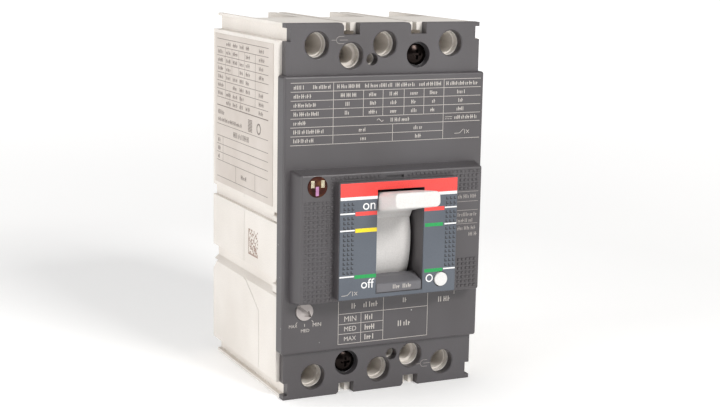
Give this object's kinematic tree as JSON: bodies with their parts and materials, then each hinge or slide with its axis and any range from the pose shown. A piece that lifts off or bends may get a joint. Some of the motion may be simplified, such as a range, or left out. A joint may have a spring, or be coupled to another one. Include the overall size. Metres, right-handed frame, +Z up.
{
  "type": "moulded case circuit breaker",
  "caption": "Upright box-shaped moulded-case circuit breaker with a toggle handle in a raised nose, access holes over its terminals and open conductor bays at both ends.",
  "frame": {"origin": "centre of the flat back face of the base", "axes": "+X to the right seen from the front, +Y back into the mounting plate, +Z up towards the line terminals"},
  "size_m": [0.0763, 0.0938, 0.13],
  "materials": {
    "case_grey": "fine moulded grain",
    "cover_dark": "fine spark-eroded grain",
    "label_blue": "printed satin film",
    "plug_dark": "satin moulded",
    "label_paper": "matt printed film",
    "seal_foil": "diffracting foil",
    "screw_black": "glossy black oxide",
    "zinc_steel": "zinc plated",
    "spring_steel": "drawn wire",
    "braid_copper": "woven flexible copper",
    "silver": "silver alloy",
    "copper_tinned": "tinned copper",
    "copper_bare": "bare copper",
    "chute_steel": "pressed steel",
    "fibre_red": "vulcanised fibre",
    "bimetal": "rolled strip",
    "shaft_black": "thermoset moulding",
    "handle_white": "smooth moulded",
    "button_white": "smooth moulded",
    "dial_grey": "smooth moulded"
  },
  "bodies": {
    "case": {"base_moulding": "case_grey", "body_moulding": "case_grey", "front_cover": "cover_dark", "face_label": "label_blue", "rating_block": "plug_dark", "side_label": "label_paper", "seal_sticker": "seal_foil", "cover_screws": "screw_black", "case_screws": "zinc_steel", "terminal_nuts": "zinc_steel", "braids": "braid_copper", "mech_pins": "zinc_steel", "cradle": "zinc_steel", "main_springs": "spring_steel", "fixed_contacts": "silver", "mech_frame_left": "zinc_steel", "mech_frame_right": "zinc_steel", "button_spring": "spring_steel", "line_terminal_left": "copper_tinned", "load_terminal_left": "copper_tinned", "arc_plates_left": "chute_steel", "arc_sides_left": "fibre_red", "bimetal_left": "bimetal", "magnet_yoke_left": "chute_steel", "line_terminal_centre": "copper_tinned", "load_terminal_centre": "copper_tinned", "arc_plates_centre": "chute_steel", "arc_sides_centre": "fibre_red", "bimetal_centre": "bimetal", "magnet_yoke_centre": "chute_steel", "line_terminal_right": "copper_tinned", "load_terminal_right": "copper_tinned", "arc_plates_right": "chute_steel", "arc_sides_right": "fibre_red", "bimetal_right": "bimetal", "magnet_yoke_right": "chute_steel"},
    "handle": {"handle": "handle_white", "handle_fork": "zinc_steel"},
    "contact_shaft": {"contact_shaft": "shaft_black", "crank_pin": "zinc_steel", "moving_contacts": "silver", "contact_arm_left": "copper_bare", "contact_arm_centre": "copper_bare", "contact_arm_right": "copper_bare"},
    "upper_link": {"upper_links": "zinc_steel", "knee_pin": "zinc_steel"},
    "lower_link": {"lower_links": "zinc_steel"},
    "trip_bar": {"trip_bar": "shaft_black"},
    "latch": {"latch": "zinc_steel"},
    "trip_button": {"trip_button": "button_white"},
    "adjust_dial": {"adjust_dial": "dial_grey"},
    "adjust_slide": {"adjust_slide": "shaft_black"},
    "armature_left": {"armature_left": "chute_steel"},
    "armature_centre": {"armature_centre": "chute_steel"},
    "armature_right": {"armature_right": "chute_steel"}
  },
  "joints": [
    {"name": "handle_swing", "type": "hinge", "parent": "case", "child": "handle", "pos_m": [0.001, -0.044, -0.0105], "axis": [1, 0, 0], "range_deg": [0, 37], "deforming": ["main_springs"]},
    {"name": "shaft_turn", "type": "hinge", "parent": "case", "child": "contact_shaft", "pos_m": [0, -0.026, -0.002], "axis": [1, 0, 0], "range_deg": [0, 25], "deforming": ["braids"]},
    {"name": "upper_link_turn", "type": "hinge", "parent": "case", "child": "upper_link", "pos_m": [0.001, -0.05, 0.01], "axis": [1, 0, 0], "range_deg": [-23, 0]},
    {"name": "lower_link_turn", "type": "hinge", "parent": "contact_shaft", "child": "lower_link", "pos_m": [0.001, -0.031, 0.0065], "axis": [1, 0, 0], "range_deg": [-20, 0]},
    {"name": "trip_bar_turn", "type": "hinge", "parent": "case", "child": "trip_bar", "pos_m": [0, -0.04, -0.0313], "axis": [1, 0, 0], "range_deg": [-12, 0]},
    {"name": "latch_turn", "type": "hinge", "parent": "case", "child": "latch", "pos_m": [0.001, -0.052, -0.02], "axis": [1, 0, 0], "range_deg": [0, 9.6]},
    {"name": "button_press", "type": "slide", "parent": "case", "child": "trip_button", "axis": [0, 1, 0], "range_m": [0, 0.00172], "stiffness_N_per_m": 200, "deforming": ["button_spring"]},
    {"name": "dial_turn", "type": "hinge", "parent": "case", "child": "adjust_dial", "pos_m": [-0.0299, -0.065, -0.0333], "axis": [0, 1, 0], "range_deg": [0, 100]},
    {"name": "slide_shift", "type": "slide", "parent": "case", "child": "adjust_slide", "axis": [1, 0, 0], "range_m": [-0.0023, 0]},
    {"name": "armature_left_pull", "type": "hinge", "parent": "case", "child": "armature_left", "pos_m": [-0.0254, -0.0344, -0.0372], "axis": [1, 0, 0], "range_deg": [-4.5, 0], "stiffness_Nm_per_rad": 0.01},
    {"name": "armature_centre_pull", "type": "hinge", "parent": "case", "child": "armature_centre", "pos_m": [0, -0.0344, -0.0372], "axis": [1, 0, 0], "range_deg": [-4.5, 0], "stiffness_Nm_per_rad": 0.01},
    {"name": "armature_right_pull", "type": "hinge", "parent": "case", "child": "armature_right", "pos_m": [0.0254, -0.0344, -0.0372], "axis": [1, 0, 0], "range_deg": [-4.5, 0], "stiffness_Nm_per_rad": 0.01}
  ],
  "couplings": [
    {"joint": "shaft_turn", "follows": "handle_swing", "ratio": 0.67568},
    {"joint": "upper_link_turn", "follows": "handle_swing", "ratio": -0.62162},
    {"joint": "lower_link_turn", "follows": "handle_swing", "ratio": -0.54054},
    {"joint": "trip_bar_turn", "follows": "button_press", "rad_per_m": -121.7},
    {"joint": "latch_turn", "follows": "button_press", "rad_per_m": 97.3},
    {"joint": "dial_turn", "follows": "slide_shift", "rad_per_m": -758.8}
  ]
}
